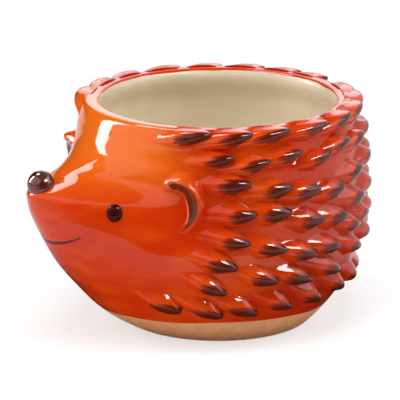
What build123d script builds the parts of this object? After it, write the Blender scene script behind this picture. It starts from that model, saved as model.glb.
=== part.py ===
from build123d import *
from math import atan2, cos, degrees, exp, hypot, radians, sin, sqrt
import os

# Hedgehog planter in millimetres. The pot's axis is Z, the ground is z = 0 and the face looks along -Y.
# Angles round the pot are in degrees from the face, positive on the animal's left side, which is +X.

# Pot shell
pot_height = 136.0
belly_swell = 5.8
belly_low_share = 0.515
belly_high_share = 0.662
foot_radius = 54.0
foot_curve_power = 2.4
shoulder_curve_power = 2.2
wall = 5.5
mouth_radius = 70.0
lip_width = 10.2
lip_outer_round = 4.8
lip_inner_round = 3.6
throat_height = 20.0
floor_thickness = 6.0
floor_round = 9.0
foot_ring_width = 8.0
foot_recess = 3.0
foot_round = 1.5
recess_round = 1.0

# Snout
snout_length = 44.8
snout_falloff_power = 1.37
# height share of the pot, reach share of the snout, then its spread and its bluntness in degrees
snout_shares = (
    (0.000, 0.000, 46.0, 26.0),
    (0.059, 0.135, 46.0, 25.0),
    (0.118, 0.223, 44.0, 22.0),
    (0.221, 0.335, 38.0, 17.0),
    (0.353, 0.547, 30.5, 11.0),
    (0.478, 0.748, 26.0, 9.5),
    (0.588, 0.926, 23.0, 8.0),
    (0.662, 0.996, 20.0, 7.0),
    (0.706, 1.000, 16.5, 6.0),
    (0.735, 0.842, 14.5, 5.0),
    (0.765, 0.600, 13.5, 5.0),
    (0.787, 0.465, 14.5, 5.5),
    (0.816, 0.290, 15.7, 6.0),
    (0.860, 0.105, 18.0, 9.0),
    (0.912, 0.040, 30.0, 12.0),
    (0.956, 0.020, 36.0, 16.0),
    (1.000, 0.000, 40.0, 18.0),
)
section_angles = (0, 4, 8, 13, 19, 26, 35, 46, 60, 80, 105, 130, 155, 180)

# Nose and eyes
nose_radius = 8.0
nose_set_out = 1.0
nose_height_share = 0.738
eye_width = 9.0
eye_tall = 10.7
eye_depth = 6.4
eye_height_share = 0.6456
eye_angle = 21.5

# Ears: a rim that curves round a hollow open to the front
ear_tall = 32.0
ear_bow = 11.0
ear_set_back = 6.5
ear_rim_width = 14.0
ear_proud = 10.5
ear_height_share = 0.695
ear_angle = 46.5
ear_start_angle = 125.0
ear_end_angle = -80.0
ear_sections = 7
ear_tip_share = 0.3
ear_fullness_power = 0.7
# across the rim from its outer foot to its inner foot and back: place share of the half width, height share
ear_outline_shares = ((-1.0, 0.0), (-0.55, 0.42), (0.0, 0.86), (0.4, 1.0), (0.8, 0.78), (1.0, 0.0), (0.0, 0.0))

# Quills
quill_width_share = 0.0985
quill_proud = 6.2
quill_gap = 1.6
# across a quill: place share of the half width, height share
quill_outline_shares = ((-1.0, 0.0), (-0.68, 0.70), (0.0, 1.0), (0.68, 0.70), (1.0, 0.0))
# and back along the wall, with more places where it rounds over at the lip
wall_seat_shares = ((0.0, 0.0),)
lip_seat_shares = ((0.85, 0.0), (0.55, 0.0), (0.2, 0.0), (-0.3, 0.0))
# along a quill from root to tip: length share, width share, height share
quill_length_shares = ((0.00, 0.40, 0.14), (0.40, 0.88, 0.68), (0.80, 0.96, 1.00), (1.00, 0.30, 0.74))
# per row, top to bottom: width share, tilt in degrees, then each tip's angle and its height share of the pot
row_shares = (
    (0.78, 9.0, (
        (54, 0.972), (71, 0.972), (87, 0.976), (107, 0.977),
        (125, 0.979), (143.5, 0.979), (161, 0.979), (177, 0.977),
    )),
    (0.78, 9.0, (
        (63, 0.890), (77.2, 0.866), (91.5, 0.890), (106.5, 0.862), (119.5, 0.890),
        (134.2, 0.880), (148.5, 0.888), (163, 0.866), (177.4, 0.880),
    )),
    (1.00, 4.0, (
        (69.2, 0.776), (86.2, 0.748), (99.3, 0.720), (113.5, 0.702),
        (128.8, 0.746), (145.5, 0.766), (161, 0.768), (177, 0.768),
    )),
    (0.98, -4.0, (
        (71.5, 0.640), (86.2, 0.634), (101.2, 0.578), (115.8, 0.566),
        (131.2, 0.616), (147, 0.634), (162.5, 0.638), (177.6, 0.640),
    )),
    (0.89, -11.0, (
        (69, 0.512), (83.8, 0.472), (97.8, 0.428), (111, 0.436), (126, 0.488),
        (138.5, 0.512), (151.5, 0.512), (164.5, 0.512), (177.5, 0.512),
    )),
    (0.94, -17.0, (
        (64.2, 0.408), (81, 0.334), (96.8, 0.318), (113.5, 0.322),
        (129.5, 0.384), (146, 0.400), (162, 0.402), (177.4, 0.402),
    )),
    (0.90, -22.0, ((59.8, 0.296),)),
    (0.96, -22.0, (
        (42, 0.211), (58.8, 0.184), (73.8, 0.186), (89.5, 0.200), (106, 0.202),
        (123, 0.220), (140, 0.216), (156.5, 0.213), (173.5, 0.213),
    )),
)
first_pitch_angle = 15.5

# Drain hole and its plug
drain_radius = 7.0
plug_clearance = 0.2
plug_taper = 0.5
plug_below_floor = 1.0
plug_flange_width = 5.0
plug_flange = 2.6
plug_knob_radius = 4.0
plug_knob_height = 6.0
plug_edge = 1.0

seat_gap = 0.3
lip_seat_gap = 0.6
overrun = 5.0
slope_step = 0.5
turn_step = 0.5
seat_passes = 7

lip_radius = mouth_radius + lip_width
belly_radius = lip_radius + belly_swell
belly_low = belly_low_share * pot_height
belly_high = belly_high_share * pot_height
floor_top = foot_recess + floor_thickness


# Shape of the wall
def share_curve(column, share):
    # smooth curve through one column of the snout's stations
    last = len(snout_shares) - 1
    i = 0
    while i < last - 1 and share > snout_shares[i + 1][0]:
        i += 1
    before, start, end, after = (snout_shares[min(max(k, 0), last)] for k in range(i - 1, i + 3))
    span = end[0] - start[0]
    t = (share - start[0]) / span
    leave = span * (end[column] - before[column]) / (end[0] - before[0])
    arrive = span * (after[column] - start[column]) / (after[0] - start[0])
    blend = start[column] * (1 + 2 * t) * (1 - t) ** 2 + end[column] * t * t * (3 - 2 * t)
    return blend + leave * t * (1 - t) ** 2 - arrive * t * t * (1 - t)


def belly_at(height):
    # radius of the round pot behind the snout
    if height < belly_low:
        curve = 1 - (1 - height / belly_low) ** foot_curve_power
        return foot_radius + (belly_radius - foot_radius) * curve
    if height > belly_high:
        curve = ((height - belly_high) / (pot_height - belly_high)) ** shoulder_curve_power
        return belly_radius - (belly_radius - lip_radius) * curve
    return belly_radius


def outer_radius(angle, height):
    share = height / pot_height
    reach, spread, blunt = (share_curve(column, share) for column in (1, 2, 3))
    power = snout_falloff_power
    falloff = ((angle * angle + blunt * blunt) ** (power / 2) - blunt**power) / spread**power
    return belly_at(height) + snout_length * reach * exp(-falloff)


def rounded_radius(angle, height):
    # the same wall with its outer lip rounded over
    centre = pot_height - lip_outer_round
    radius = outer_radius(angle, centre)
    lean = (radius - outer_radius(angle, pot_height)) / lip_outer_round
    steep = sqrt(1 + lean * lean)
    above = min(height - centre, lip_outer_round)
    if above < lip_outer_round * lean / steep:
        return outer_radius(angle, height)
    return radius - lip_outer_round * steep + sqrt(lip_outer_round**2 - above**2)


def cavity_radius(angle, height):
    # the wall keeps its thickness square to the surface, and the throat closes in to the mouth
    if height > pot_height - lip_inner_round:
        return mouth_radius
    low, high = height - slope_step, height + slope_step
    rise = (outer_radius(angle, high) - outer_radius(angle, low)) / (high - low)
    radius = outer_radius(angle, height)
    left, right = outer_radius(angle - turn_step, height), outer_radius(angle + turn_step, height)
    turn = (right - left) / (2 * radians(turn_step) * radius)
    inner = radius - wall * sqrt(1 + rise * rise + turn * turn)
    closing = (height - (pot_height - throat_height)) / (throat_height - lip_inner_round)
    closing = min(max(closing, 0), 1)
    return inner + (mouth_radius - inner) * closing * closing * (3 - 2 * closing)


def on_pot(angle, height, radius):
    return Vector(radius * sin(radians(angle)), -radius * cos(radians(angle)), height)


def section(radius_at, height):
    # a closed smooth curve round the pot, starting and ending at the back
    angles = [-angle for angle in reversed(section_angles[1:])] + list(section_angles)
    points = [on_pot(angle, height, radius_at(abs(angle), height)) for angle in angles[:-1]]
    return make_face(Edge.make_spline(points, periodic=True, parameters=angles))


def section_heights():
    return [station[0] * pot_height for station in snout_shares]


# Pot shell
def make_block():
    # the outside of the casting as one solid block, with its edges still sharp
    return loft([section(outer_radius, height) for height in section_heights()])


def make_cavity():
    lowest, highest = floor_top + wall, pot_height - lip_inner_round
    heights = [height for height in section_heights() if lowest < height < highest]
    heights = [floor_top] + heights + [highest, pot_height, pot_height + overrun]
    cavity = loft([section(cavity_radius, height) for height in heights])
    return fillet(cavity.faces().sort_by(Axis.Z)[0].edges(), floor_round)


def make_foot_recess():
    depth = foot_recess + overrun
    recess = Pos(0, 0, foot_recess - depth / 2) * Cylinder(foot_radius - foot_ring_width, depth)
    return fillet(recess.edges().group_by(Axis.Z)[-1], recess_round)


def make_pot_body(block):
    pot = fillet(block.faces().sort_by(Axis.Z)[-1].edges(), lip_outer_round)
    pot = fillet(pot.faces().sort_by(Axis.Z)[0].edges(), foot_round)
    pot -= make_cavity()
    top = pot.faces().filter_by(Axis.Z).sort_by(Axis.Z)[-1]
    pot = fillet(top.edges().sort_by(SortBy.LENGTH)[0], lip_inner_round)
    pot -= make_foot_recess()
    return pot - Pos(0, 0, floor_top / 2) * Cylinder(drain_radius, floor_top + overrun)


# Nose and eyes, each seated on the block
def make_nose(block):
    height = nose_height_share * pot_height
    forward = outer_radius(0, height) + nose_set_out
    return Pos(0, -forward, height) * Sphere(nose_radius) - block


def make_eye(block):
    height = eye_height_share * pot_height
    place = on_pot(eye_angle, height, outer_radius(eye_angle, height))
    dome = scale(Sphere(1), by=(eye_width / 2, eye_depth / 2, eye_tall / 2))
    facing = seat_plane(eye_angle, height).z_dir
    turn = degrees(atan2(facing.X, -facing.Y))
    return Pos(*place) * Rot(0, 0, turn) * dome - block


# Relief that follows the wall
def seat_plane(angle, height, tilt=0):
    # a plane against the wall: X runs back along the side, Y up and Z outwards
    place = on_pot(angle, height, rounded_radius(angle, height))
    ahead, behind = angle - turn_step, angle + turn_step
    low, high = height - slope_step, height + slope_step
    back = on_pot(behind, height, outer_radius(behind, height)) - on_pot(ahead, height, outer_radius(ahead, height))
    up = on_pot(angle, high, outer_radius(angle, high)) - on_pot(angle, low, outer_radius(angle, low))
    return Plane(origin=place, x_dir=back, z_dir=back.cross(up)).rotated((0, 0, tilt))


def seat_depth(plane, x, y):
    # how far the wall lies from the plane at a place on it
    depth = 0
    for _ in range(seat_passes):
        point = plane.from_local_coords(Vector(x, y, depth))
        angle = abs(degrees(atan2(point.X, -point.Y)))
        depth -= hypot(point.X, point.Y) - rounded_radius(angle, point.Z)
    return depth


def ridge_points(plane, x, y, heading, half_width, proud, outline_shares, gap=seat_gap):
    # a section across a ridge at one place on its path, from one foot over the crest and back along the wall
    points = []
    for across, rise in outline_shares:
        side_x = x - across * half_width * sin(radians(heading))
        side_y = y + across * half_width * cos(radians(heading))
        point = Vector(side_x, side_y, seat_depth(plane, side_x, side_y) + gap + rise * proud)
        points.append(plane.from_local_coords(point))
    return points


def make_ear():
    plane = seat_plane(ear_angle, ear_height_share * pot_height)
    sections = []
    for i in range(ear_sections):
        t = i / (ear_sections - 1)
        turn = radians(ear_start_angle + (ear_end_angle - ear_start_angle) * t)
        x, y = ear_bow * cos(turn) - ear_set_back, ear_tall / 2 * sin(turn)
        heading = degrees(atan2(-ear_tall / 2 * cos(turn), ear_bow * sin(turn)))
        size = ear_tip_share + (1 - ear_tip_share) * sin(radians(180 * t)) ** ear_fullness_power
        half_width = ear_rim_width / 2 * size
        points = ridge_points(plane, x, y, heading, half_width, ear_proud * size, ear_outline_shares)
        crest = Spline(*points[:-1])
        sections.append(make_face(crest + Line(points[-2], points[-1]) + Line(points[-1], points[0])))
    return loft(sections)


def make_quill(tip_angle, tip_height, tilt, length, widest):
    # the place is worked back from the tip to the middle of the quill
    height = tip_height - length / 2 * sin(radians(tilt))
    run = length / 2 * cos(radians(tilt))
    angle = tip_angle - degrees(run / outer_radius(tip_angle, tip_height))
    plane = seat_plane(angle, height, tilt)
    on_lip = tip_height + widest / 2 > pot_height - lip_outer_round
    outline_shares = quill_outline_shares + (lip_seat_shares if on_lip else wall_seat_shares)
    gap = lip_seat_gap if on_lip else seat_gap
    sections = []
    for along, width, rise in quill_length_shares:
        x, half_width = (along - 0.5) * length, width * widest / 2
        points = ridge_points(plane, x, 0, 0, half_width, rise * quill_proud, outline_shares, gap)
        sections.append(make_face(Polyline(*points, close=True)))
    return loft(sections, ruled=True)


def make_quill_row(row):
    # each quill runs back from its tip towards the tip before it
    width_share, tilt, tips = row
    widest = width_share * quill_width_share * pot_height
    before = tips[0][0] - first_pitch_angle
    quills = []
    for angle, share in tips:
        height = share * pot_height
        run = radians(angle - before) * outer_radius(angle, height)
        quill = make_quill(angle, height, tilt, run / cos(radians(tilt)) - quill_gap, widest)
        quills += [quill, mirror(quill, Plane.YZ)]
        before = angle
    return Compound(children=[quill.solid() for quill in quills])


# Drain plug: a knob over a flange that rests on the floor, with a tapered stem in the drain hole
def make_drain_plug():
    stem = drain_radius - plug_clearance
    flange = drain_radius + plug_flange_width
    bottom = foot_recess - plug_below_floor
    flange_top = floor_top + plug_flange
    outline = Polyline(
        (0, bottom),
        (stem - plug_taper, bottom),
        (stem, floor_top),
        (flange, floor_top),
        (flange, flange_top),
        (plug_knob_radius, flange_top),
        (plug_knob_radius, flange_top + plug_knob_height),
        (0, flange_top + plug_knob_height),
        close=True,
    )
    plug = revolve(Plane.XZ * make_face(outline), Axis.Z)
    rims = plug.edges().filter_by(GeomType.CIRCLE).sort_by(Axis.Z)
    return chamfer([rims[-1], rims[-3]], plug_edge)


def export_node(shape, name):
    export_step(shape, "parts/" + name + ".step")


os.makedirs("parts", exist_ok=True)
block = make_block()
eye = make_eye(block)
ear = make_ear()
export_node(make_pot_body(block), "pot_body")
export_node(make_nose(block), "nose")
export_node(eye, "eye_left")
export_node(mirror(eye, Plane.YZ), "eye_right")
export_node(ear, "ear_left")
export_node(mirror(ear, Plane.YZ), "ear_right")
for number, row in enumerate(row_shares, start=1):
    export_node(make_quill_row(row), "quill_row_" + str(number))
export_node(make_drain_plug(), "drain_plug")
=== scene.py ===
import math
import random

import bpy
import numpy as np
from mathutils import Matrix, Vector


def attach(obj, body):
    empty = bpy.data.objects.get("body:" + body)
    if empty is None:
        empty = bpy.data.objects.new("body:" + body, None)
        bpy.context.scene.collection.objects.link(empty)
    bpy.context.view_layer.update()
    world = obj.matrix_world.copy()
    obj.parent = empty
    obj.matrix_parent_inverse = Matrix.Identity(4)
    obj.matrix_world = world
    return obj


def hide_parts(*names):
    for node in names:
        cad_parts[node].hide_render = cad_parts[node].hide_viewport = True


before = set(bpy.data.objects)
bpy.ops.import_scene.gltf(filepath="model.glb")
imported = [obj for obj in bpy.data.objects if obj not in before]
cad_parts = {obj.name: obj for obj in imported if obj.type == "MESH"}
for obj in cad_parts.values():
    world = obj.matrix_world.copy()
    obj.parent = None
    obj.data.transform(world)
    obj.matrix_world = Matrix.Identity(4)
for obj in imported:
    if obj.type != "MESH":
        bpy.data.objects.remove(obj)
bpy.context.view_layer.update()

# Hedgehog planter. The pot's axis is Z, the face looks along -Y, lengths are in metres.
# Angles round the pot are in degrees from the face, positive on the animal's left side.

mergeGap = 1e-6          # points closer than this become one
glazeMirror = 1.38       # index of refraction, which sets how strongly the glaze mirrors


# small helpers
def deselectAll():
    if bpy.context.object and bpy.context.object.mode != "OBJECT":
        bpy.ops.object.mode_set(mode="OBJECT")
    bpy.ops.object.select_all(action="DESELECT")


def namePiece(name):
    piece = bpy.context.object
    piece.name = name
    piece.data.name = name
    return piece


def pointsOf(piece):
    flat = np.empty(len(piece.data.vertices) * 3)
    piece.data.vertices.foreach_get("co", flat)
    return flat.reshape(-1, 3)


def movePoints(piece, points):
    piece.data.vertices.foreach_set("co", np.asarray(points, dtype=float).ravel())
    piece.data.update()


def storeValue(piece, name, values):
    layer = piece.data.attributes.new(name, "FLOAT", "POINT")
    layer.data.foreach_set("value", np.asarray(values, dtype=float))


def finishPiece(piece, material):
    # closes seams and poles, turns all faces outwards and paints the piece
    deselectAll()
    piece.select_set(True)
    bpy.context.view_layer.objects.active = piece
    bpy.ops.object.mode_set(mode="EDIT")
    bpy.ops.mesh.select_all(action="SELECT")
    bpy.ops.mesh.remove_doubles(threshold=mergeGap)
    bpy.ops.mesh.normals_make_consistent(inside=False)
    bpy.ops.object.mode_set(mode="OBJECT")
    bpy.ops.object.shade_smooth()
    piece.data.materials.append(material)


def smoothStep(low, high, value):
    t = np.clip((value - low) / (high - low), 0, 1)
    return t * t * (3 - 2 * t)


# material helpers, where a tree is the node tree of a material or of the world
def startMaterial(name, roughness, mirror=glazeMirror):
    material = bpy.data.materials.new(name)
    material.use_nodes = True
    shader = material.node_tree.nodes["Principled BSDF"]
    shader.inputs["Roughness"].default_value = roughness
    shader.inputs["IOR"].default_value = mirror
    return material, material.node_tree, shader


def objectPlace(tree):
    return tree.nodes.new("ShaderNodeTexCoord").outputs["Object"]


def splitPlace(tree, place):
    split = tree.nodes.new("ShaderNodeSeparateXYZ")
    tree.links.new(place, split.inputs["Vector"])
    return split.outputs["X"], split.outputs["Y"], split.outputs["Z"]


def readValue(tree, name):
    stored = tree.nodes.new("ShaderNodeAttribute")
    stored.attribute_name = name
    return stored.outputs["Fac"]


def addNoise(tree, place, scale, detail, stretch=(1, 1, 1), shift=(0, 0, 0)):
    mapping = tree.nodes.new("ShaderNodeMapping")
    mapping.inputs["Scale"].default_value = stretch
    mapping.inputs["Location"].default_value = shift
    tree.links.new(place, mapping.inputs["Vector"])
    noise = tree.nodes.new("ShaderNodeTexNoise")
    noise.inputs["Scale"].default_value = scale
    noise.inputs["Detail"].default_value = detail
    tree.links.new(mapping.outputs["Vector"], noise.inputs["Vector"])
    return noise.outputs["Fac"]


def addMath(tree, operation, first, second=0.0):
    step = tree.nodes.new("ShaderNodeMath")
    step.operation = operation
    for socket, value in zip(step.inputs, (first, second)):
        if isinstance(value, (int, float)):
            socket.default_value = value
        else:
            tree.links.new(value, socket)
    return step.outputs[0]


def addRange(tree, value, low, high, start=0.0, end=1.0):
    ramp = tree.nodes.new("ShaderNodeMapRange")
    ramp.interpolation_type = "SMOOTHSTEP"
    for socket, number in zip(("From Min", "From Max", "To Min", "To Max"), (low, high, start, end)):
        ramp.inputs[socket].default_value = number
    tree.links.new(value, ramp.inputs["Value"])
    return ramp.outputs["Result"]


def addMix(tree, share, first, second):
    mix = tree.nodes.new("ShaderNodeMix")
    mix.data_type = "RGBA"
    sockets = (mix.inputs[0], mix.inputs[6], mix.inputs[7])      # share, first color, second color
    for socket, value in zip(sockets, (share, first, second)):
        if isinstance(value, tuple):
            socket.default_value = (*value, 1.0)
        else:
            tree.links.new(value, socket)
    return mix.outputs[2]      # the mixed color


def addBump(tree, shader, height, strength, distance):
    bump = tree.nodes.new("ShaderNodeBump")
    bump.inputs["Strength"].default_value = strength
    bump.inputs["Distance"].default_value = distance
    tree.links.new(height, bump.inputs["Height"])
    tree.links.new(bump.outputs["Normal"], shader.inputs["Normal"])


# wall of the pot, shared by every piece that sits on it
pot = {
    "height": 0.136,
    "bellyRadius": 0.086,
    "bellyLow": 0.070,
    "bellyHigh": 0.090,
    "footRadius": 0.054,
    "footCurve": 2.4,
    "shoulderCurve": 2.2,
    "wall": 0.0055,
    "mouthRadius": 0.070,
    "lipWidth": 0.0102,
    "lipOuterRound": 0.0048,
    "lipInnerRound": 0.0036,
    "throat": 0.020,
    "floorTop": 0.009,
    "floorRound": 0.009,
    "footRecess": 0.003,
    "recessEdge": 0.001,
    "footRing": 0.008,
    "footRound": 0.0015,
    "drainRadius": 0.007,
    "snoutLength": 0.0448,
    "snoutFalloff": 1.37,
    "liningAtTop": 0.2,                        # share of the lining on top of the lip
    "columns": 300,
    "evenColumns": 0.60,                       # the rest of the columns crowd round the snout
    "outerRings": 108,
    "innerRings": 52,
    "roundRings": 9,
    "lipRings": 12,
    "recessRings": 8,
    "floorRings": 10,
    "footRings": (0.0, 0.002, 0.004),          # from the recess outwards
    "holeRings": (0.0075, 0.006, 0.0045),      # heights in the drain hole
}
# share of the height, reach share, spread and bluntness in degrees
snoutStations = np.array((
    (0.000, 0.000, 46.0, 26.0),
    (0.059, 0.135, 46.0, 25.0),
    (0.118, 0.223, 44.0, 22.0),
    (0.221, 0.335, 38.0, 17.0),
    (0.353, 0.547, 30.5, 11.0),
    (0.478, 0.748, 26.0, 9.5),
    (0.588, 0.926, 23.0, 8.0),
    (0.662, 0.996, 20.0, 7.0),
    (0.706, 1.000, 16.5, 6.0),
    (0.735, 0.842, 14.5, 5.0),
    (0.765, 0.600, 13.5, 5.0),
    (0.787, 0.465, 14.5, 5.5),
    (0.816, 0.290, 15.7, 6.0),
    (0.860, 0.105, 18.0, 9.0),
    (0.912, 0.040, 30.0, 12.0),
    (0.956, 0.020, 36.0, 16.0),
    (1.000, 0.000, 40.0, 18.0),
))


def stationCurve(column, share):
    # a smooth curve through one column of the stations
    last = len(snoutStations) - 1
    share = np.clip(share, 0, 1)
    i = np.clip(np.searchsorted(snoutStations[:, 0], share) - 1, 0, last - 1)
    before, start = snoutStations[np.maximum(i - 1, 0)], snoutStations[i]
    end, after = snoutStations[i + 1], snoutStations[np.minimum(i + 2, last)]
    span = end[..., 0] - start[..., 0]
    t = (share - start[..., 0]) / span
    leave = span * (end[..., column] - before[..., column]) / (end[..., 0] - before[..., 0])
    arrive = span * (after[..., column] - start[..., column]) / (after[..., 0] - start[..., 0])
    blend = start[..., column] * (1 + 2 * t) * (1 - t) ** 2 + end[..., column] * t * t * (3 - 2 * t)
    return blend + leave * t * (1 - t) ** 2 - arrive * t * t * (1 - t)


def bellyAt(height):
    low = 1 - np.clip(1 - height / pot["bellyLow"], 0, 1) ** pot["footCurve"]
    top = np.clip((height - pot["bellyHigh"]) / (pot["height"] - pot["bellyHigh"]), 0, 1)
    radius = pot["footRadius"] + (pot["bellyRadius"] - pot["footRadius"]) * low
    lip = pot["mouthRadius"] + pot["lipWidth"]
    return radius - (pot["bellyRadius"] - lip) * top ** pot["shoulderCurve"]


def outerRadius(angle, height):
    angle, height = np.asarray(angle, dtype=float), np.asarray(height, dtype=float)
    share = height / pot["height"]
    reach, spread, blunt = (stationCurve(column, share) for column in (1, 2, 3))
    power = pot["snoutFalloff"]
    around = np.abs((angle + 180) % 360 - 180)
    falloff = ((around**2 + blunt**2) ** (power / 2) - blunt**power) / spread**power
    return bellyAt(height) + pot["snoutLength"] * reach * np.exp(-falloff)


def roundedRadius(angle, height):
    # the outside with its rounding at the lip, which follows the wall's lean
    rounding = pot["lipOuterRound"]
    centre = pot["height"] - rounding
    radius = outerRadius(angle, centre)
    lean = (radius - outerRadius(angle, pot["height"])) / rounding
    steep = np.sqrt(1 + lean * lean)
    above = np.clip(np.asarray(height, dtype=float) - centre, 0, rounding)
    over = radius - rounding * steep + np.sqrt(rounding**2 - above**2)
    return np.where(above < rounding * lean / steep, outerRadius(angle, height), over)


def innerRadius(angle, height):
    # the outside set in by the wall, square to the surface, and closing in to the round mouth
    step, turnStep = 0.0005, 0.5
    rise = (outerRadius(angle, height + step) - outerRadius(angle, height - step)) / (2 * step)
    radius = outerRadius(angle, height)
    turn = outerRadius(angle + turnStep, height) - outerRadius(angle - turnStep, height)
    turn = turn / (2 * math.radians(turnStep) * radius)
    inner = radius - pot["wall"] * np.sqrt(1 + rise * rise + turn * turn)
    throatLow = pot["height"] - pot["throat"]
    closing = smoothStep(throatLow, pot["height"] - pot["lipInnerRound"], height)
    return inner + (pot["mouthRadius"] - inner) * closing


def onPot(angle, height, radius):
    turn = np.radians(angle)
    height = height + np.zeros_like(turn)
    return np.stack((radius * np.sin(turn), -radius * np.cos(turn), height), axis=-1)


def onWall(angle, height, out=0.0):
    # a place on the wall, lifted square to it, with the direction it faces
    turnStep, rise = 0.25, 0.0004
    place = onPot(angle, height, roundedRadius(angle, height))
    ahead = onPot(angle + turnStep, height, outerRadius(angle + turnStep, height))
    behind = onPot(angle - turnStep, height, outerRadius(angle - turnStep, height))
    above = onPot(angle, height + rise, outerRadius(angle, height + rise))
    below = onPot(angle, height - rise, outerRadius(angle, height - rise))
    facing = np.cross(ahead - behind, above - below)
    facing /= np.linalg.norm(facing, axis=-1, keepdims=True)
    return place + facing * np.asarray(out)[..., None], facing


def wrapOnWall(points, angle, height, tilt):
    # lays a flat piece on the wall: x runs back round the pot, y up, z out of the wall
    turn = math.radians(tilt)
    along = points[:, 0] * math.cos(turn) - points[:, 1] * math.sin(turn)
    up = points[:, 0] * math.sin(turn) + points[:, 1] * math.cos(turn)
    turnStep, rise = 0.5, 0.001
    radius = float(outerRadius(angle, height))
    spread = float(outerRadius(angle + turnStep, height) - outerRadius(angle - turnStep, height))
    side = spread / math.radians(2 * turnStep)
    lean = float(outerRadius(angle, height + rise) - outerRadius(angle, height - rise)) / (2 * rise)
    angles = angle + np.degrees(along / math.hypot(radius, side))
    heights = height + up / math.hypot(1, lean)
    placed, _ = onWall(angles, heights, points[:, 2])
    return placed


# the orange glaze: brushed orange over red, brighter on the forehead and deeper low at the back
# here and below, a noise is given as its scale and detail, and a bump as its strength and distance
glaze = {
    "orange": (0.67, 0.072, 0.004),
    "red": (0.54, 0.026, 0.001),
    "deep": (0.34, 0.010, 0.001),
    "forehead": (0.78, 0.150, 0.010),
    "brown": (0.085, 0.010, 0.004),
    "roughness": 0.07,
    "broad": (16.0, 2.0),
    "broadPlace": (0.3, 0.1, 0.0),
    "broadShare": 0.62,
    "brushed": (40.0, 4.0),
    "brushedStretch": (1, 1, 3.2),
    "brushedShare": 0.38,
    "redToOrange": (0.36, 0.66),
    "foreheadFront": (-0.045, -0.085),      # the forehead's glaze comes in between these in Y
    "foreheadHigh": (0.086, 0.122),         # and between these in Z
    "foreheadShare": 0.9,
    "back": (-0.05, 0.01),
    "backShare": 0.55,
    "low": (0.095, 0.022),
    "lowShares": (0.08, 0.62),
}


def orangeGlazeColor(tree, place):
    broad = addNoise(tree, place, *glaze["broad"], shift=glaze["broadPlace"])
    brushed = addNoise(tree, place, *glaze["brushed"], stretch=glaze["brushedStretch"])
    mixed = addMath(tree, "ADD", addMath(tree, "MULTIPLY", broad, glaze["broadShare"]),
                    addMath(tree, "MULTIPLY", brushed, glaze["brushedShare"]))
    color = addMix(tree, addRange(tree, mixed, *glaze["redToOrange"]), glaze["red"], glaze["orange"])
    _, y, z = splitPlace(tree, place)
    front = addRange(tree, y, *glaze["foreheadFront"])
    forehead = addMath(tree, "MULTIPLY", front, addRange(tree, z, *glaze["foreheadHigh"]))
    forehead = addMath(tree, "MULTIPLY", forehead, glaze["foreheadShare"])
    color = addMix(tree, forehead, color, glaze["forehead"])
    back = addRange(tree, y, *glaze["back"])
    color = addMix(tree, addMath(tree, "MULTIPLY", back, glaze["backShare"]), color, glaze["red"])
    low = addMath(tree, "MULTIPLY", back, addRange(tree, z, *glaze["low"], *glaze["lowShares"]))
    return addMix(tree, low, color, glaze["deep"])


# paint and mesh of the pot
smile = {
    "height": 0.0652,
    "half": 0.0245,
    "rise": 0.0066,
    "curve": 2.2,
    "thick": 0.00105,
    "thin": 0.000525,
    "thinsFrom": 0.35,
    "front": -0.06,                # only in front of this in Y
}
lining = {
    "cream": (0.90, 0.80, 0.63),
    "creamDark": (0.80, 0.69, 0.51),
    "creamLipShade": (0.60, 0.46, 0.31),
    "blotch": (22.0, 4.0),
    "blotches": (0.38, 0.66),
    "lip": (1.0, 0.75, 0.0, 0.70),      # shares of lining, and of painted shade on the cream there
    "wander": (45.0, 2.0),
    "wanderShare": 0.30,
    "edge": (0.74, 0.79),
    "moreRough": 0.25,
}
foot = {
    "clay": (0.75, 0.37, 0.175),
    "clayDark": (0.68, 0.315, 0.14),
    "grain": (130.0, 2.0),
    "grains": (0.35, 0.7),
    "wander": (14.0, 1.0),
    "wanderHeight": 0.011,
    "edge": (0.0104, 0.0099),
    "moreRough": 0.55,
}
potWave = {"noise": (26.0, 1.0), "bump": (0.35, 0.0016)}


def paintSmile(tree, color, place):
    # a thin line that rises and thins towards the cheeks
    x, y, z = splitPlace(tree, place)
    share = addMath(tree, "DIVIDE", addMath(tree, "ABSOLUTE", x), smile["half"])
    lifted = addMath(tree, "MULTIPLY", addMath(tree, "POWER", share, smile["curve"]), smile["rise"])
    level = addMath(tree, "ADD", lifted, smile["height"])
    away = addMath(tree, "ABSOLUTE", addMath(tree, "SUBTRACT", z, level))
    thickness = addRange(tree, share, smile["thinsFrom"], 1.0, smile["thick"], smile["thin"])
    onLine = addMath(tree, "LESS_THAN", away, thickness)
    onLine = addMath(tree, "MULTIPLY", onLine, addMath(tree, "LESS_THAN", share, 1.0))
    onLine = addMath(tree, "MULTIPLY", onLine, addMath(tree, "LESS_THAN", y, smile["front"]))
    return addMix(tree, onLine, color, glaze["brown"])


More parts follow.
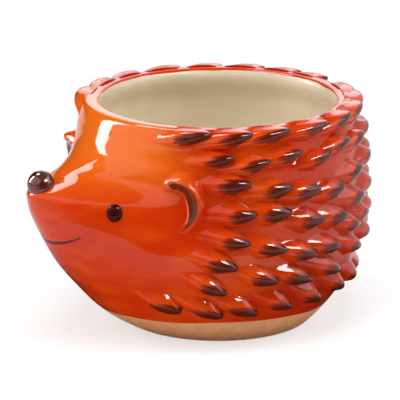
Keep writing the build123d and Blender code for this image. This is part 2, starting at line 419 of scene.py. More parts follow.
def makePotMaterial():
    material, tree, shader = startMaterial("Orange glaze, cream lining and bare foot", glaze["roughness"])
    place = objectPlace(tree)
    color = paintSmile(tree, orangeGlazeColor(tree, place), place)

    # cream lining with blotches, up to a slightly uneven edge inside the lip
    blotch = addRange(tree, addNoise(tree, place, *lining["blotch"]), *lining["blotches"])
    cream = addMix(tree, blotch, lining["creamDark"], lining["cream"])
    lined = readValue(tree, "lining")
    # painted shade: darker cream on the lip's inner rounding, which faces up into the light
    cream = addMix(tree, addRange(tree, lined, *lining["lip"]), cream, lining["creamLipShade"])
    wander = addMath(tree, "MULTIPLY", addNoise(tree, place, *lining["wander"]), lining["wanderShare"])
    inside = addRange(tree, addMath(tree, "ADD", lined, wander), *lining["edge"])
    color = addMix(tree, inside, color, cream)

    # bare clay foot under a wandering glaze edge
    _, _, z = splitPlace(tree, place)
    wander = addMath(tree, "MULTIPLY", addNoise(tree, place, *foot["wander"]), foot["wanderHeight"])
    bare = addRange(tree, addMath(tree, "SUBTRACT", z, wander), *foot["edge"])
    bare = addMath(tree, "MULTIPLY", bare, addMath(tree, "SUBTRACT", 1.0, inside))
    grain = addRange(tree, addNoise(tree, place, *foot["grain"]), *foot["grains"])
    color = addMix(tree, bare, color, addMix(tree, grain, foot["clayDark"], foot["clay"]))
    tree.links.new(color, shader.inputs["Base Color"])

    matt = addMath(tree, "ADD", addMath(tree, "MULTIPLY", bare, foot["moreRough"]),
                   addMath(tree, "MULTIPLY", inside, lining["moreRough"]))
    tree.links.new(addMath(tree, "ADD", matt, glaze["roughness"]), shader.inputs["Roughness"])
    addBump(tree, shader, addNoise(tree, place, *potWave["noise"]), *potWave["bump"])
    return material


def potProfile():
    # one closed profile: foot recess, foot ring, outside, lip, inside, floor and drain hole
    # each place is its kind, its height, its radius or how far it is set in, and its share of lining
    height, mouth, drain = pot["height"], pot["mouthRadius"], pot["drainRadius"]
    recess, edge = pot["footRecess"], pot["recessEdge"]
    lipIn, lipOut, footRound, bend = (
        pot[name] for name in ("lipInnerRound", "lipOuterRound", "footRound", "floorRound"))
    ringIn = pot["footRadius"] - pot["footRing"]
    lipLow, floorLow = height - lipOut, pot["floorTop"] + bend
    quarter = np.linspace(0, math.pi / 2, pot["roundRings"])
    lipTurns = np.linspace(0, math.pi / 2, pot["lipRings"])
    lined = pot["liningAtTop"] + (1 - pot["liningAtTop"]) * lipTurns / (math.pi / 2)
    profile = [("plain", recess, r, 0.0) for r in np.linspace(drain, ringIn - edge, pot["recessRings"])]
    profile += [("plain", recess - edge + edge * math.cos(q), ringIn - edge + edge * math.sin(q), 0.0)
                for q in quarter[1:]]
    profile += [("plain", 0.0, ringIn + out, 0.0) for out in pot["footRings"]]
    profile += [("outer", footRound - footRound * math.cos(q), footRound - footRound * math.sin(q), 0.0)
                for q in quarter[:-1]]
    profile += [("outer", z, 0.0, 0.0) for z in np.linspace(footRound, lipLow, pot["outerRings"])]
    profile += [("outer", lipLow + lipOut * math.sin(q), 0.0, 0.0) for q in lipTurns[1:]]
    profile += [("plain", height - lipIn + lipIn * math.cos(q), mouth + lipIn - lipIn * math.sin(q), share)
                for q, share in zip(lipTurns, lined)]
    inside = np.linspace(height - lipIn, floorLow, pot["innerRings"])
    profile += [("inner", z, 0.0, 1.0) for z in inside[1:]]
    profile += [("inner", floorLow - bend * math.sin(q), bend - bend * math.cos(q), 1.0) for q in quarter[1:]]
    across = np.linspace(1, 0, pot["floorRings"])
    profile += [("floor", pot["floorTop"], share, 1.0) for share in across[1:]]
    profile += [("plain", z, drain, 1.0) for z in pot["holeRings"]]
    return profile + [profile[0]]


def makePotWall(material):
    profile = potProfile()
    rings = len(profile) - 1
    deselectAll()
    bpy.ops.mesh.primitive_grid_add(x_subdivisions=pot["columns"], y_subdivisions=rings, size=2)
    wall = namePiece("potWall")
    grid = pointsOf(wall)
    turn, even = grid[:, 0], pot["evenColumns"]
    angle = 180 * (even * turn + (1 - even) * turn**3)
    ring = np.rint((grid[:, 1] + 1) / 2 * rings).astype(int)
    kinds, heights, insets, linings = (np.array(column)[ring] for column in zip(*profile))
    radius = insets.copy()
    outside = kinds == "outer"
    radius[outside] = roundedRadius(angle[outside], heights[outside]) - insets[outside]
    inside = kinds == "inner"
    radius[inside] = innerRadius(angle[inside], heights[inside]) - insets[inside]
    flat = kinds == "floor"
    floorEdge = innerRadius(angle[flat], heights[flat]) - pot["floorRound"]
    radius[flat] = pot["drainRadius"] + (floorEdge - pot["drainRadius"]) * insets[flat]
    movePoints(wall, onPot(angle, heights, radius))
    storeValue(wall, "lining", linings)
    finishPiece(wall, material)
    return wall


# quills; shares of the length run from 0 at the root to 1 at the tip
quill = {
    "width": 0.0166,          # with its feathered feet
    "proud": 0.0066,
    "rootShare": 0.42,        # how far the root runs back under the quill before it
    "overhang": 0.42,         # how far the raised tip leans back, as a share of its height
    "overhangFrom": 0.72,
    "crestAt": 0.74,
    "fallFrom": 0.76,
    "fallCurve": 2.3,
    "fallRound": 0.55,
    "rootWidth": 0.42,
    "widestAt": 0.56,
    "pointLength": 0.45,
    "pointCurve": 1.8,
    "pointRound": 0.80,
    "domeCurve": 2.3,
    "feather": 1.15,
    "rootFeather": 1.5,
    "featherFades": (0.15, 0.72),
    "sink": 0.00025,          # the top starts this far in the wall
    "edgeSink": 0.0002,       # and its edge this much deeper
    "edgeFrom": 0.80,
    "underside": -0.0012,
    "segments": 22,
    "ribs": 16,
    "lengthWander": 0.05,
    "tiltWander": 2.5,
    "aboveLip": 0.0014,       # the first row's tops stand this far over the lip
    "topRound": 0.0007,
}
quillPaint = {
    "brownThin": (0.24, 0.018, 0.003),
    "crest": (0.25, 0.95, 0.0, 0.30),      # shares of the quill's height, and of lighter orange there, a painted light on the crests
    # painted shade: deep red on the quills' low edges towards the tip, most on their lower side
    "paintedShadeShare": 0.85,
    "paintedShadeBelow": 0.45,
    "paintedShadeAlong": (0.34, 0.66),
    "paintedShadeSide": (-0.3, 0.5),
    "paintedShadeUpperShare": 0.45,
    "tipStart": 0.49,
    "tipWander": 0.04,
    "tipFade": 0.34,
    "tipMiddle": -0.16,
    "tipNarrow": 1.7,
    "tipCurve": 2.2,
    "lipFade": (0.1350, 0.1374),           # no brown where the first row rounds over the lip
    "lipPull": 1.4,
    "streaks": (1.0, 3.0),
    "streakStretch": (2.4, 13.0, 1.0),
    "streakPull": 1.3,
    "streakShift": 50,                     # each quill reads its own place in the streaks
    "thin": (0.36, 0.58),
    "thick": (0.56, 0.95),
    "wave": (60.0, 1.0),
    "bump": (0.25, 0.0006),
}
# tip places seen from the animal's left: angle round the pot and height, row by row from the top
quillRows = {
    "quillRow1": {
        "node": "quill_row_1", "width": 0.80, "length": 0.0285, "tilt": 9.0,
        "tips": ((54, 0.1340), (71, 0.1338), (87, 0.1342), (107, 0.1342),
                 (125, 0.1344), (143.5, 0.1342), (161, 0.1342), (176, 0.1340)),
    },
    "quillRow2": {
        "node": "quill_row_2", "width": 0.80, "length": 0.0240, "tilt": 9.0,
        "tips": ((63, 0.1210), (77.2, 0.1178), (91.5, 0.1210), (106.5, 0.1172), (119.5, 0.1210),
                 (134.2, 0.1197), (148.5, 0.1208), (163, 0.1178), (177, 0.1197)),
    },
    "quillRow3": {
        "node": "quill_row_3", "width": 1.0, "length": 0.0245, "tilt": 4.0,
        "tips": ((69.2, 0.1055), (86.2, 0.1017), (99.3, 0.0979), (113.5, 0.0955),
                 (128.8, 0.1015), (145.5, 0.1042), (161, 0.1044), (176.5, 0.1044)),
    },
    "quillRow4": {
        "node": "quill_row_4", "width": 1.04, "length": 0.0245, "tilt": -4.0,
        "tips": ((71.5, 0.0870), (86.2, 0.0862), (101.2, 0.0786), (115.8, 0.0770),
                 (131.2, 0.0838), (147, 0.0862), (162.5, 0.0868), (177.5, 0.0870)),
    },
    "quillRow5": {
        "node": "quill_row_5", "width": 0.95, "length": 0.0240, "tilt": -11.0,
        "tips": ((69, 0.0696), (83.8, 0.0642), (97.8, 0.0582), (111, 0.0593), (126, 0.0669),
                 (138.5, 0.0696), (151.5, 0.0696), (164.5, 0.0696), (177.5, 0.0696)),
    },
    "quillRow6": {
        "node": "quill_row_6", "width": 0.96, "length": 0.0255, "tilt": -17.0,
        "tips": ((64.2, 0.0555), (81, 0.0454), (96.8, 0.0432), (113.5, 0.0438),
                 (129.5, 0.0522), (146, 0.0544), (162, 0.0547), (177, 0.0547)),
    },
    "quillRow7": {
        "node": "quill_row_7", "width": 0.92, "length": 0.0230, "tilt": -22.0,
        "tips": ((59.8, 0.0403),),
    },
    "quillRow8": {
        "node": "quill_row_8", "width": 0.96, "length": 0.0235, "tilt": -24.0,
        "tips": ((42, 0.0287), (58.8, 0.0250), (73.8, 0.0253), (89.5, 0.0272), (106, 0.0275),
                 (123, 0.0299), (140, 0.0294), (156.5, 0.0290), (173, 0.0290)),
    },
}


def makeQuillMaterial():
    material, tree, shader = startMaterial("Orange glaze with brushed brown tips", glaze["roughness"])
    place = objectPlace(tree)
    color = orangeGlazeColor(tree, place)
    # painted light: lighter orange towards each quill's crest
    crest = addRange(tree, readValue(tree, "crest"), *quillPaint["crest"])
    color = addMix(tree, crest, color, glaze["orange"])
    # painted shade: deep red on each quill's low edges towards its tip, most on its lower side
    paintedShade = addMath(tree, "MULTIPLY", readValue(tree, "paintedShade"), quillPaint["paintedShadeShare"])
    color = addMix(tree, paintedShade, color, glaze["deep"])
    strokes = tree.nodes.new("ShaderNodeUVMap")
    strokes.uv_map = "strokes"
    streaks = addNoise(tree, strokes.outputs["UV"], *quillPaint["streaks"],
                       stretch=quillPaint["streakStretch"])
    streaks = addMath(tree, "SUBTRACT", streaks, 0.5)      # noise wanders about a half
    streaks = addMath(tree, "MULTIPLY", streaks, quillPaint["streakPull"])
    wet = addMath(tree, "ADD", readValue(tree, "brush"), streaks)
    color = addMix(tree, addRange(tree, wet, *quillPaint["thin"]), color, quillPaint["brownThin"])
    color = addMix(tree, addRange(tree, wet, *quillPaint["thick"]), color, glaze["brown"])
    tree.links.new(color, shader.inputs["Base Color"])
    addBump(tree, shader, addNoise(tree, place, *quillPaint["wave"]), *quillPaint["bump"])
    return material


def shapeQuill(along, across, length, width):
    # across runs from -1 to 1 between the feet
    grow = smoothStep(0.0, quill["crestAt"], along)
    fall = np.clip((along - quill["fallFrom"]) / (1 - quill["fallFrom"]), 0, 1)
    crest = grow * np.clip(1 - fall ** quill["fallCurve"], 0, 1) ** quill["fallRound"]
    rootWidth = quill["rootWidth"]
    half = width / 2 * (rootWidth + (1 - rootWidth) * smoothStep(0.0, quill["widestAt"], along))
    point = np.clip((along - quill["widestAt"]) / quill["pointLength"], 0, 1)
    half = half * np.clip(1 - point ** quill["pointCurve"], 0, 1) ** quill["pointRound"]
    feather = quill["feather"] + quill["rootFeather"] * (1 - smoothStep(*quill["featherFades"], along))
    dome = np.clip(1 - np.abs(across) ** quill["domeCurve"], 0, 1) ** feather
    return (along - 1) * length, across * half, crest * dome


def makeQuillStart():
    # the quill before it is wrapped: a grid with a top layer, and one face as its underside
    deselectAll()
    bpy.ops.mesh.primitive_grid_add(x_subdivisions=quill["segments"], y_subdivisions=quill["ribs"], size=2)
    start = namePiece("quillStart")
    bpy.ops.object.mode_set(mode="EDIT")
    bpy.ops.mesh.select_all(action="SELECT")
    bpy.ops.mesh.extrude_region_move(TRANSFORM_OT_translate={"value": (0, 0, 1)})
    bpy.ops.object.mode_set(mode="OBJECT")
    betweenLayers = 0.5
    for face in start.data.polygons:
        face.select = all(start.data.vertices[v].co.z < betweenLayers for v in face.vertices)
    for edge in start.data.edges:
        edge.select = False
    bpy.ops.object.mode_set(mode="EDIT")
    bpy.ops.mesh.select_mode(type="FACE")
    bpy.ops.mesh.dissolve_faces()
    bpy.ops.object.mode_set(mode="OBJECT")
    return start


def paintQuill(piece, along, across, high, top):
    paint = quillPaint
    storeValue(piece, "crest", np.where(top, high, 0))
    # painted shade, strongest where the quill is low, towards its tip and on its lower side
    upper = paint["paintedShadeUpperShare"]
    paintedShade = smoothStep(-paint["paintedShadeBelow"], 0.0, -high) * smoothStep(*paint["paintedShadeAlong"], along)
    paintedShade = paintedShade * (upper + (1 - upper) * smoothStep(*paint["paintedShadeSide"], -across))
    storeValue(piece, "paintedShade", paintedShade)
    tipStart = paint["tipStart"] + random.uniform(-1, 1) * paint["tipWander"]
    fromMiddle = np.abs(across - paint["tipMiddle"]) ** paint["tipCurve"]
    brush = (along - tipStart) / paint["tipFade"] + 0.5 - paint["tipNarrow"] * fromMiddle
    brush -= paint["lipPull"] * smoothStep(*paint["lipFade"], pointsOf(piece)[:, 2])
    storeValue(piece, "brush", brush)
    strokes = piece.data.uv_layers.new(name="strokes")
    corner = np.empty(len(piece.data.loops), dtype=int)
    piece.data.loops.foreach_get("vertex_index", corner)
    shift = random.uniform(0, paint["streakShift"])
    places = np.stack((along[corner] + shift, across[corner] / 2 + shift), axis=-1)
    strokes.data.foreach_set("uv", places.ravel())


def makeQuill(start, row, tip, side):
    piece = start.copy()
    piece.data = start.data.copy()
    bpy.context.collection.objects.link(piece)
    grid = pointsOf(start)
    along, across, top = (grid[:, 0] + 1) / 2, grid[:, 1], grid[:, 2] > 0
    length = row["length"] * (1 + random.uniform(-1, 1) * quill["lengthWander"]) * (1 + quill["rootShare"])
    tilt = row["tilt"] + random.uniform(-1, 1) * quill["tiltWander"]
    x, y, high = shapeQuill(along, across, length, quill["width"] * row["width"])
    out = high * quill["proud"]
    x = x + quill["overhang"] * out * smoothStep(quill["overhangFrom"], 1.0, along)
    edge = smoothStep(quill["edgeFrom"], 1.0, np.maximum(np.abs(across), 1 - 2 * along))
    out = np.where(top, out - quill["sink"] - quill["edgeSink"] * edge, quill["underside"])
    points = wrapOnWall(np.stack((x, y, out), axis=-1), *tip, tilt)
    points[:, 0] *= side
    over = (points[:, 2] - pot["height"] - quill["aboveLip"]) / quill["topRound"]
    points[:, 2] -= quill["topRound"] * np.logaddexp(0, over)      # rounds the first row's tops off
    movePoints(piece, points)
    paintQuill(piece, along, across, high, top)
    return piece


def makeQuillRow(name, row, start, material):
    random.seed(name)
    placed = [makeQuill(start, row, tip, side) for side in (1, -1) for tip in row["tips"]]
    deselectAll()
    for bristle in placed:
        bristle.select_set(True)
    bpy.context.view_layer.objects.active = placed[0]
    bpy.ops.object.join()
    piece = namePiece(name)
    finishPiece(piece, material)
    return piece


# ears: a raised crest that runs round a hollow; shares along it run from its top to its lower end
ear = {
    "angle": 47.6,
    "height": 0.0927,
    "tall": 0.0310,
    "bow": 0.0120,
    "setBack": 0.0086,
    "proud": 0.0090,
    "start": 130.0,
    "end": -78.0,
    "outside": 0.0058,
    "inside": 0.0090,
    "insideCurve": 1.35,
    "crestBlend": 0.0015,
    "startSize": 0.30,
    "grownAt": 0.24,
    "endSize": 0.03,
    "fadesFrom": 0.52,
    "footFrom": 0.6,
    "footSink": 0.0004,          # its edge dips this far into the wall
    "beyondSink": 0.0010,        # and all beyond the edge this much more
    "underside": -0.0030,
    "shell": 0.001,              # between its two layers, before it is wrapped
    "reach": 0.029,              # half a side of its grid
    "cells": 96,
    "samples": 500,              # places along the crest's line
    "smoothing": 5,
}
earPaint = {
    "brown": (0.125, 0.020, 0.009),
    # painted highlight: a lighter orange for the lit hollow inside the brown band
    "light": (0.92, 0.36, 0.12),
    "lightShare": 0.75,
    "streaks": (170.0, 3.0),
    "streakRange": (0.35, 0.70),
    "brushEdge": (0.35, 0.60),
    "band": 0.0066,
    "bandStart": 0.82,
    "bandFullAt": 0.30,
    "bandNarrowsFrom": 0.45,
    "bandTaper": 0.6,
    "bandEnds": (0.012, 0.99),
    "bandOutside": (-0.0008, -0.0013),      # a soft edge, measured from the crest's line
    "bandInside": (-0.0012, -0.0007),       # the other edges are measured from the band's inside
    "lightOutside": (-0.0012, -0.0022),
    "lightInside": (-0.0070, -0.0030),
    "lightFrom": (0.12, 0.30),
    "lightTo": (0.98, 0.75),
}


def makeEarMaterial():
    material, tree, shader = startMaterial("Orange glaze with a brushed brown ear line", glaze["roughness"])
    place = objectPlace(tree)
    color = orangeGlazeColor(tree, place)
    # painted highlight: lighter orange on the lit hollow inside the brown band
    light = addMath(tree, "MULTIPLY", readValue(tree, "hollowHighlight"), earPaint["lightShare"])
    color = addMix(tree, light, color, earPaint["light"])
    streaks = addRange(tree, addNoise(tree, place, *earPaint["streaks"]), *earPaint["streakRange"])
    painted = addMix(tree, streaks, earPaint["brown"], glaze["brown"])
    brushed = addRange(tree, readValue(tree, "brush"), *earPaint["brushEdge"])
    tree.links.new(addMix(tree, brushed, color, painted), shader.inputs["Base Color"])
    return material


def fromCrest(x, y):
    # how far each point lies outside the crest's line, negative inside it, and its share along it
    turns = np.radians(np.linspace(ear["start"], ear["end"], ear["samples"]))
    wide, tall = ear["bow"], ear["tall"] / 2
    lineX = wide * np.cos(turns) - ear["setBack"]
    lineY = tall * np.sin(turns)
    gap = np.hypot(x[:, None] - lineX, y[:, None] - lineY)
    near = gap.argmin(axis=1)
    away = gap[np.arange(len(x)), near]
    outward = (x - lineX[near]) * np.cos(turns[near]) * tall + (y - lineY[near]) * np.sin(turns[near]) * wide
    return np.where(outward >= 0, away, -away), near / (len(turns) - 1)


def paintEar(piece, signed, t):
    paint = earPaint
    width = paint["bandStart"] + (1 - paint["bandStart"]) * smoothStep(0.0, paint["bandFullAt"], t)
    width = width * (1 - smoothStep(paint["bandNarrowsFrom"], 1.0, t)) ** paint["bandTaper"]
    fromBand = signed + paint["band"] * width
    inBand = smoothStep(*paint["bandOutside"], signed) * smoothStep(*paint["bandInside"], fromBand)
    first, last = paint["bandEnds"]
    storeValue(piece, "brush", inBand * (t > first) * (t < last))
    # painted highlight on the hollow just inside the band
    light = smoothStep(*paint["lightOutside"], fromBand) * smoothStep(*paint["lightInside"], fromBand)
    light = light * smoothStep(*paint["lightFrom"], t) * smoothStep(*paint["lightTo"], t)
    storeValue(piece, "hollowHighlight", light)


def makeEar(name, side, material):
    deselectAll()
    cells, shell = ear["cells"], ear["shell"]
    bpy.ops.mesh.primitive_grid_add(x_subdivisions=cells, y_subdivisions=cells, size=2 * ear["reach"])
    piece = namePiece(name)
    bpy.ops.object.mode_set(mode="EDIT")
    bpy.ops.mesh.select_all(action="SELECT")
    bpy.ops.mesh.extrude_region_move(TRANSFORM_OT_translate={"value": (0, 0, shell)})
    bpy.ops.object.mode_set(mode="OBJECT")
    grid = pointsOf(piece)
    x, y, top = grid[:, 0], grid[:, 1], grid[:, 2] > shell / 2
    signed, t = fromCrest(x, y)
    size = ear["startSize"] + (1 - ear["startSize"]) * smoothStep(0.0, ear["grownAt"], t)
    size = size * (1 - (1 - ear["endSize"]) * smoothStep(ear["fadesFrom"], 1.0, t))
    blend = smoothStep(-ear["crestBlend"], ear["crestBlend"], signed)      # 0 inside the crest, 1 outside
    reach = (ear["inside"] + (ear["outside"] - ear["inside"]) * blend) * (1 + size) / 2
    fade = np.clip(np.abs(signed) / reach, 0, 1)
    steep = ear["insideCurve"] + (1 - ear["insideCurve"]) * blend
    out = ear["proud"] * size * (1 + np.cos(np.pi * fade**steep)) / 2
    sink = ear["footSink"] * smoothStep(ear["footFrom"], 1.0, fade) + ear["beyondSink"] * (fade >= 1)
    out = np.where(top, out - sink, ear["underside"])
    points = wrapOnWall(np.stack((x, y, out), axis=-1), ear["angle"], ear["height"], 0.0)
    points[:, 0] *= side
    movePoints(piece, points)
    bpy.ops.object.mode_set(mode="EDIT")
    bpy.ops.mesh.select_all(action="SELECT")
    bpy.ops.mesh.vertices_smooth(factor=0.5, repeat=ear["smoothing"])
    bpy.ops.object.mode_set(mode="OBJECT")
    paintEar(piece, signed, t)
    finishPiece(piece, material)
    return piece


# nose and eyes
nose = {
    "radius": 0.0083,
    "forward": 0.1236,
    "height": 0.1004,
    "narrower": 0.06,          # towards its front
    "lower": 0.05,
    "mirror": 1.65,
    "dark": (0.062, 0.010, 0.008),
    "red": (0.135, 0.022, 0.016),
}
eye = {
    "width": 0.0093,
    "tall": 0.0110,
    "depth": 0.0064,
    "angle": 21.5,
    "height": 0.0878,
    "roundness": 0.96,
    "mirror": 1.22,
    "dark": (0.022, 0.002, 0.001),
    "red": (0.070, 0.006, 0.004),
}
darkGlaze = {
    "roughness": 0.05,
    "mottle": (180.0, 3.0),
    "mottles": (0.35, 0.7),
    "wave": (120.0, 1.0),
    "bump": (0.2, 0.0005),
}


def makeDarkMaterial(name, paint):
    material, tree, shader = startMaterial(name, darkGlaze["roughness"], paint["mirror"])
    place = objectPlace(tree)
    mottled = addRange(tree, addNoise(tree, place, *darkGlaze["mottle"]), *darkGlaze["mottles"])
    tree.links.new(addMix(tree, mottled, paint["dark"], paint["red"]), shader.inputs["Base Color"])
    addBump(tree, shader, addNoise(tree, place, *darkGlaze["wave"]), *darkGlaze["bump"])
    return material


def makeNose(material):
    deselectAll()
    bpy.ops.mesh.primitive_uv_sphere_add(segments=48, ring_count=32, radius=nose["radius"])
    piece = namePiece("noseButton")
    points = pointsOf(piece)
    forward = np.clip(-points[:, 1] / nose["radius"], 0, 1)
    points[:, 0] *= 1 - nose["narrower"] * forward**2
    points[:, 2] *= 1 - nose["lower"] * forward**2
    points[:, 1] -= nose["forward"]
    points[:, 2] += nose["height"]
    movePoints(piece, points)
    finishPiece(piece, material)
    return piece


def makeEye(name, side, material):
    deselectAll()
    bpy.ops.mesh.primitive_uv_sphere_add(segments=40, ring_count=24, radius=1.0)
    piece = namePiece(name)
    points = pointsOf(piece)
    place, facing = onWall(np.array([eye["angle"]]), np.array([eye["height"]]))
    facing = facing[0].copy()
    facing[2] = 0      # the eye stands upright
    facing /= np.linalg.norm(facing)
    beside = np.array((-facing[1], facing[0], 0))
    rounded = np.sign(points[:, 2]) * np.abs(points[:, 2]) ** eye["roundness"]
    points = (place[0] + np.outer(points[:, 0] * eye["width"] / 2, beside)
              + np.outer(points[:, 1] * eye["depth"] / 2, facing)
              + np.outer(rounded * eye["tall"] / 2, (0, 0, 1)))
    points[:, 0] *= side
    movePoints(piece, points)
    finishPiece(piece, material)
    return piece


# drain plug
plug = {
    "stem": 0.0068,
    "taper": 0.0005,
    "bottom": 0.002,
    "flange": 0.012,
    "flangeHigh": 0.0026,
    "knob": 0.004,
    "knobHigh": 0.006,
    "knobSteps": ((0.8, 0.0), (0.7, 0.45), (1.0, 0.30), (0.9, 0.25)),      # shares of its radius and height
    "sides": 48,
    "edgeRound": 0.0005,
    "edgeAngle": 30.0,
    "smoothAngle": 35.0,
    "roughness": 0.55,
    "black": (0.018, 0.018, 0.018),
    "dusty": (0.045, 0.043, 0.040),
    "dust": (300.0, 4.0),
    "dustRange": (0.4, 0.7),
    "bump": (0.2, 0.0002),
}


def makeRubberMaterial():
    material, tree, shader = startMaterial("Black rubber", plug["roughness"])
    dust = addNoise(tree, objectPlace(tree), *plug["dust"])
    color = addMix(tree, addRange(tree, dust, *plug["dustRange"]), plug["black"], plug["dusty"])
    tree.links.new(color, shader.inputs["Base Color"])
    addBump(tree, shader, dust, *plug["bump"])
    return material


def makePlug(material):
    deselectAll()
    floorTop, radius = pot["floorTop"], plug["stem"] - plug["taper"]
    depth = floorTop - plug["bottom"]
    bpy.ops.mesh.primitive_cylinder_add(vertices=plug["sides"], radius=radius, depth=depth,
                                        location=(0, 0, plug["bottom"] + depth / 2))
    piece = namePiece("drainPlug")
    bpy.ops.object.transform_apply(location=True, rotation=True, scale=True)
    bpy.ops.object.mode_set(mode="EDIT")
    bpy.ops.mesh.select_mode(type="FACE")
    bpy.ops.mesh.select_all(action="DESELECT")
    bpy.ops.object.mode_set(mode="OBJECT")
    facingUp = 0.9
    for face in piece.data.polygons:
        face.select = face.normal.z > facingUp
    bpy.ops.object.mode_set(mode="EDIT")
    # the stem widens upwards, and the flange and the knob are drawn up out of its top
    steps = [(plug["stem"], 0.0), (plug["flange"], 0.0), (plug["flange"], plug["flangeHigh"])]
    steps += [(plug["knob"] * wide, plug["knobHigh"] * rise) for wide, rise in plug["knobSteps"]]
    for number, (wider, rise) in enumerate(steps):
        if number > 0:
            bpy.ops.mesh.extrude_region_move(TRANSFORM_OT_translate={"value": (0, 0, rise)})
        grow = wider / radius
        bpy.ops.transform.resize(value=(grow, grow, 1), center_override=(0, 0, floorTop))
        radius = wider
    bpy.ops.object.mode_set(mode="OBJECT")
    bevel = piece.modifiers.new("softEdges", "BEVEL")
    bevel.width = plug["edgeRound"]
    bevel.segments = 3
    bevel.limit_method = "ANGLE"
    bevel.angle_limit = math.radians(plug["edgeAngle"])
    bpy.ops.object.modifier_apply(modifier="softEdges")
    finishPiece(piece, material)
    bpy.ops.object.shade_smooth_by_angle(angle=math.radians(plug["smoothAngle"]))
    return piece


# floor, lights and camera; azimuth 0 stands in front of the face, 90 on the animal's left side
studio = {
    "azimuth": 57.0,
    "elevation": 15.6,
    "distance": 2.6,
    "look": (0.0, 0.0, 0.068),
    "lens": 389.4,
    "sensor": 36.0,
    "lookPixel": (218.0, 206.5),      # where the photograph shows the looked-at place
    "middlePixel": 200.0,
    "pixel": 0.0006009,               # what a pixel covers there
    "farClip": 50.0,
    "tableSize": 12.0,
    "tableColor": (0.9, 0.9, 0.9, 1.0),
    "tableRoughness": 0.9,
    "tableGlow": 1.27,
    "glowSeen": 0.48,
    "glowMirrored": 0.20,
    "roomLight": 0.22,
    "roomSeen": 1.0,
    "cardColor": (0.02, 0.02, 0.02, 1.0),
}


def towards(azimuth, elevation):
    turn, rise = math.radians(azimuth), math.radians(elevation)
    return Vector((math.sin(turn) * math.cos(rise), -math.cos(turn) * math.cos(rise), math.sin(rise)))


def mixSurfaces(tree, share, first, second):
    mix = tree.nodes.new("ShaderNodeMixShader")
    for socket, source in zip(mix.inputs, (share, first, second)):
        tree.links.new(source, socket)
    tree.links.new(mix.outputs[0], tree.nodes["Material Output"].inputs["Surface"])


def makeStage():
    # a white table that glows a little where the camera or a mirroring surface sees it
    deselectAll()
    bpy.ops.mesh.primitive_plane_add(size=studio["tableSize"])
    floor = namePiece("whiteTable")
    material, tree, shader = startMaterial("White table", studio["tableRoughness"])
    shader.inputs["Base Color"].default_value = studio["tableColor"]
    shader.inputs["Specular IOR Level"].default_value = 0.0
    glow = tree.nodes.new("ShaderNodeEmission")
    glow.inputs["Strength"].default_value = studio["tableGlow"]
    rays = tree.nodes.new("ShaderNodeLightPath").outputs
    mirrored = addMath(tree, "MAXIMUM", rays["Is Glossy Ray"], rays["Is Transmission Ray"])
    mirrored = addMath(tree, "MULTIPLY", mirrored, studio["glowMirrored"])
    seen = addMath(tree, "MULTIPLY", rays["Is Camera Ray"], studio["glowSeen"])
    mixSurfaces(tree, addMath(tree, "ADD", seen, mirrored), shader.outputs[0], glow.outputs[0])
    floor.data.materials.append(material)


def addSoftbox(name, turn, rise, away, width, tall, power):
    back = towards(turn, rise)
    lamp = bpy.data.lights.new(name, "AREA")
    lamp.shape = "RECTANGLE"
    lamp.size = width
    lamp.size_y = tall
    lamp.energy = power
    box = bpy.data.objects.new(name, lamp)
    box.location = Vector(studio["look"]) + back * away
    box.rotation_euler = back.to_track_quat("Z", "Y").to_euler()
    box.visible_camera = False
    bpy.context.collection.objects.link(box)
    return box


def finishDarkCard(card):
    # only reflections see it, as with the black cards that photographers set round glossy glaze; the sheet
    # under the pot stands in for the table's shadow round the foot, a painted shadow
    material, tree, shader = startMaterial("Dark card", 1.0)
    shader.inputs["Base Color"].default_value = studio["cardColor"]
    shader.inputs["Specular IOR Level"].default_value = 0.0
    clear = tree.nodes.new("ShaderNodeBsdfTransparent")
    mixSurfaces(tree, readValue(tree, "solid"), clear.outputs[0], shader.outputs[0])
    card.data.materials.append(material)
    card.visible_camera = False
    card.visible_diffuse = False
    card.visible_shadow = False
    card.visible_transmission = False


def addDarkCard(name, turn, away, height, softEnds=0.02, softTop=0.0):
    # turn, distance away and height each run from the card's first edge to its last
    deselectAll()
    bpy.ops.mesh.primitive_grid_add(x_subdivisions=40, y_subdivisions=10, size=2)
    card = namePiece(name)
    share = (pointsOf(card) + 1) / 2
    angle = np.radians(turn[0] + (turn[1] - turn[0]) * share[:, 0])
    radius = away[0] + (away[1] - away[0]) * share[:, 1]
    level = height[0] + (height[1] - height[0]) * share[:, 1]
    movePoints(card, np.stack((radius * np.sin(angle), -radius * np.cos(angle), level), axis=-1))
    fade = smoothStep(0.0, softEnds, np.minimum(share[:, 0], 1 - share[:, 0]))
    if softTop:
        fade = fade * smoothStep(0.0, softTop, 1 - share[:, 1])
    storeValue(card, "solid", fade)
    finishDarkCard(card)


def makeRoom():
    # pale light all round, and white wherever it is seen or mirrored
    world = bpy.data.worlds.new("studioRoom")
    bpy.context.scene.world = world
    world.use_nodes = True
    tree = world.node_tree
    background = tree.nodes["Background"]
    rays = tree.nodes.new("ShaderNodeLightPath").outputs
    seen = addMath(tree, "MAXIMUM", rays["Is Camera Ray"], rays["Is Transmission Ray"])
    seen = addMath(tree, "MAXIMUM", seen, rays["Is Glossy Ray"])
    strength = addRange(tree, seen, 0.0, 1.0, studio["roomLight"], studio["roomSeen"])
    background.inputs["Color"].default_value = (1, 1, 1, 1)
    tree.links.new(strength, background.inputs["Strength"])


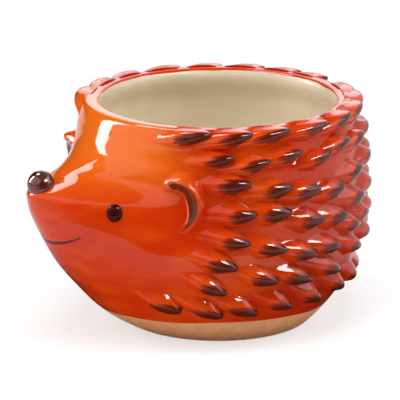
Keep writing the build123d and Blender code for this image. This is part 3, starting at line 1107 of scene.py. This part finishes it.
def makeLights():
    addSoftbox("frontSoftbox", turn=0.0, rise=32.0, away=1.8, width=2.8, tall=1.9, power=24.0)
    addSoftbox("rightSoftbox", turn=140.0, rise=34.0, away=1.8, width=1.3, tall=1.4, power=14.0)
    addSoftbox("backSoftbox", turn=-123.0, rise=24.0, away=1.9, width=1.3, tall=0.7, power=4.5)
    fill = addSoftbox("overheadFill", turn=57.0, rise=72.0, away=1.8, width=1.2, tall=1.2, power=19.0)
    fill.visible_glossy = False
    # the next three are seen as highlights and give no other light
    strip = addSoftbox("stripSoftbox", turn=-47.0, rise=25.0, away=1.7, width=0.44, tall=1.2, power=36.0)
    panel = addSoftbox("highPanel", turn=-72.0, rise=64.0, away=1.7, width=0.55, tall=0.55, power=12.0)
    quills = addSoftbox("quillStrip", turn=104.0, rise=40.0, away=1.7, width=0.8, tall=0.42, power=34.0)
    for box in (strip, panel, quills):
        box.visible_diffuse = False
    sharp = 0.0001      # ends that don't fade
    addDarkCard("darkRoom", turn=(-110.0, 122.0), away=(2.4, 2.4), height=(0.0, 3.2))
    addDarkCard("darkCeiling", turn=(-180.0, 180.0), away=(0.02, 3.0), height=(3.2, 3.2), softEnds=sharp)
    addDarkCard("darkTableEdge", turn=(-8.0, 112.0), away=(0.26, 0.26), height=(0.004, 0.15), softEnds=0.35)
    # painted shadow: a dark sheet round the foot, seen only in reflections, in place of the table's shadow
    # there
    addDarkCard("paintedShadowUnderPot", turn=(-180.0, 180.0), away=(0.03, 0.20), height=(0.0006, 0.0006),
                softEnds=sharp, softTop=0.6)


def makeCamera():
    back = towards(studio["azimuth"], studio["elevation"])
    turn = math.radians(studio["azimuth"])
    right = Vector((math.cos(turn), math.sin(turn), 0))
    up = back.cross(right)
    across = (studio["lookPixel"][0] - studio["middlePixel"]) * studio["pixel"]
    above = (studio["lookPixel"][1] - studio["middlePixel"]) * studio["pixel"]
    centre = Vector(studio["look"]) - right * across + up * above
    lens = bpy.data.cameras.new("productCamera")
    lens.lens = studio["lens"]
    lens.sensor_width = studio["sensor"]
    lens.clip_end = studio["farClip"]
    camera = bpy.data.objects.new("productCamera", lens)
    camera.location = centre + back * studio["distance"]
    camera.rotation_euler = back.to_track_quat("Z", "Y").to_euler()
    bpy.context.collection.objects.link(camera)
    bpy.context.scene.camera = camera
    bpy.context.scene.view_settings.view_transform = "Standard"


# build
potGlaze = makePotMaterial()
quillGlaze = makeQuillMaterial()
earGlaze = makeEarMaterial()
eyeGlaze = makeDarkMaterial("Dark brown eye glaze", eye)
noseGlaze = makeDarkMaterial("Dark brown nose glaze", nose)
blackRubber = makeRubberMaterial()

potWall = makePotWall(potGlaze)
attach(potWall, "pot")
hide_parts("pot_body")
print("pot wall done")

quillStart = makeQuillStart()
for rowName, row in quillRows.items():
    quillRow = makeQuillRow(rowName, row, quillStart, quillGlaze)
    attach(quillRow, "pot")
    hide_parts(row["node"])
bpy.data.objects.remove(quillStart)
print("quills done")

for earName, node, side in (("earLeft", "ear_left", 1), ("earRight", "ear_right", -1)):
    earPiece = makeEar(earName, side, earGlaze)
    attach(earPiece, "pot")
    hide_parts(node)
for eyeName, node, side in (("eyeLeft", "eye_left", 1), ("eyeRight", "eye_right", -1)):
    eyePiece = makeEye(eyeName, side, eyeGlaze)
    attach(eyePiece, "pot")
    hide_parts(node)
noseButton = makeNose(noseGlaze)
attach(noseButton, "pot")
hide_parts("nose")
print("ears, eyes and nose done")

drainPlug = makePlug(blackRubber)
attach(drainPlug, "plug")
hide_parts("drain_plug")
print("plug done")

makeStage()
makeRoom()
makeLights()
makeCamera()
print("stage done")
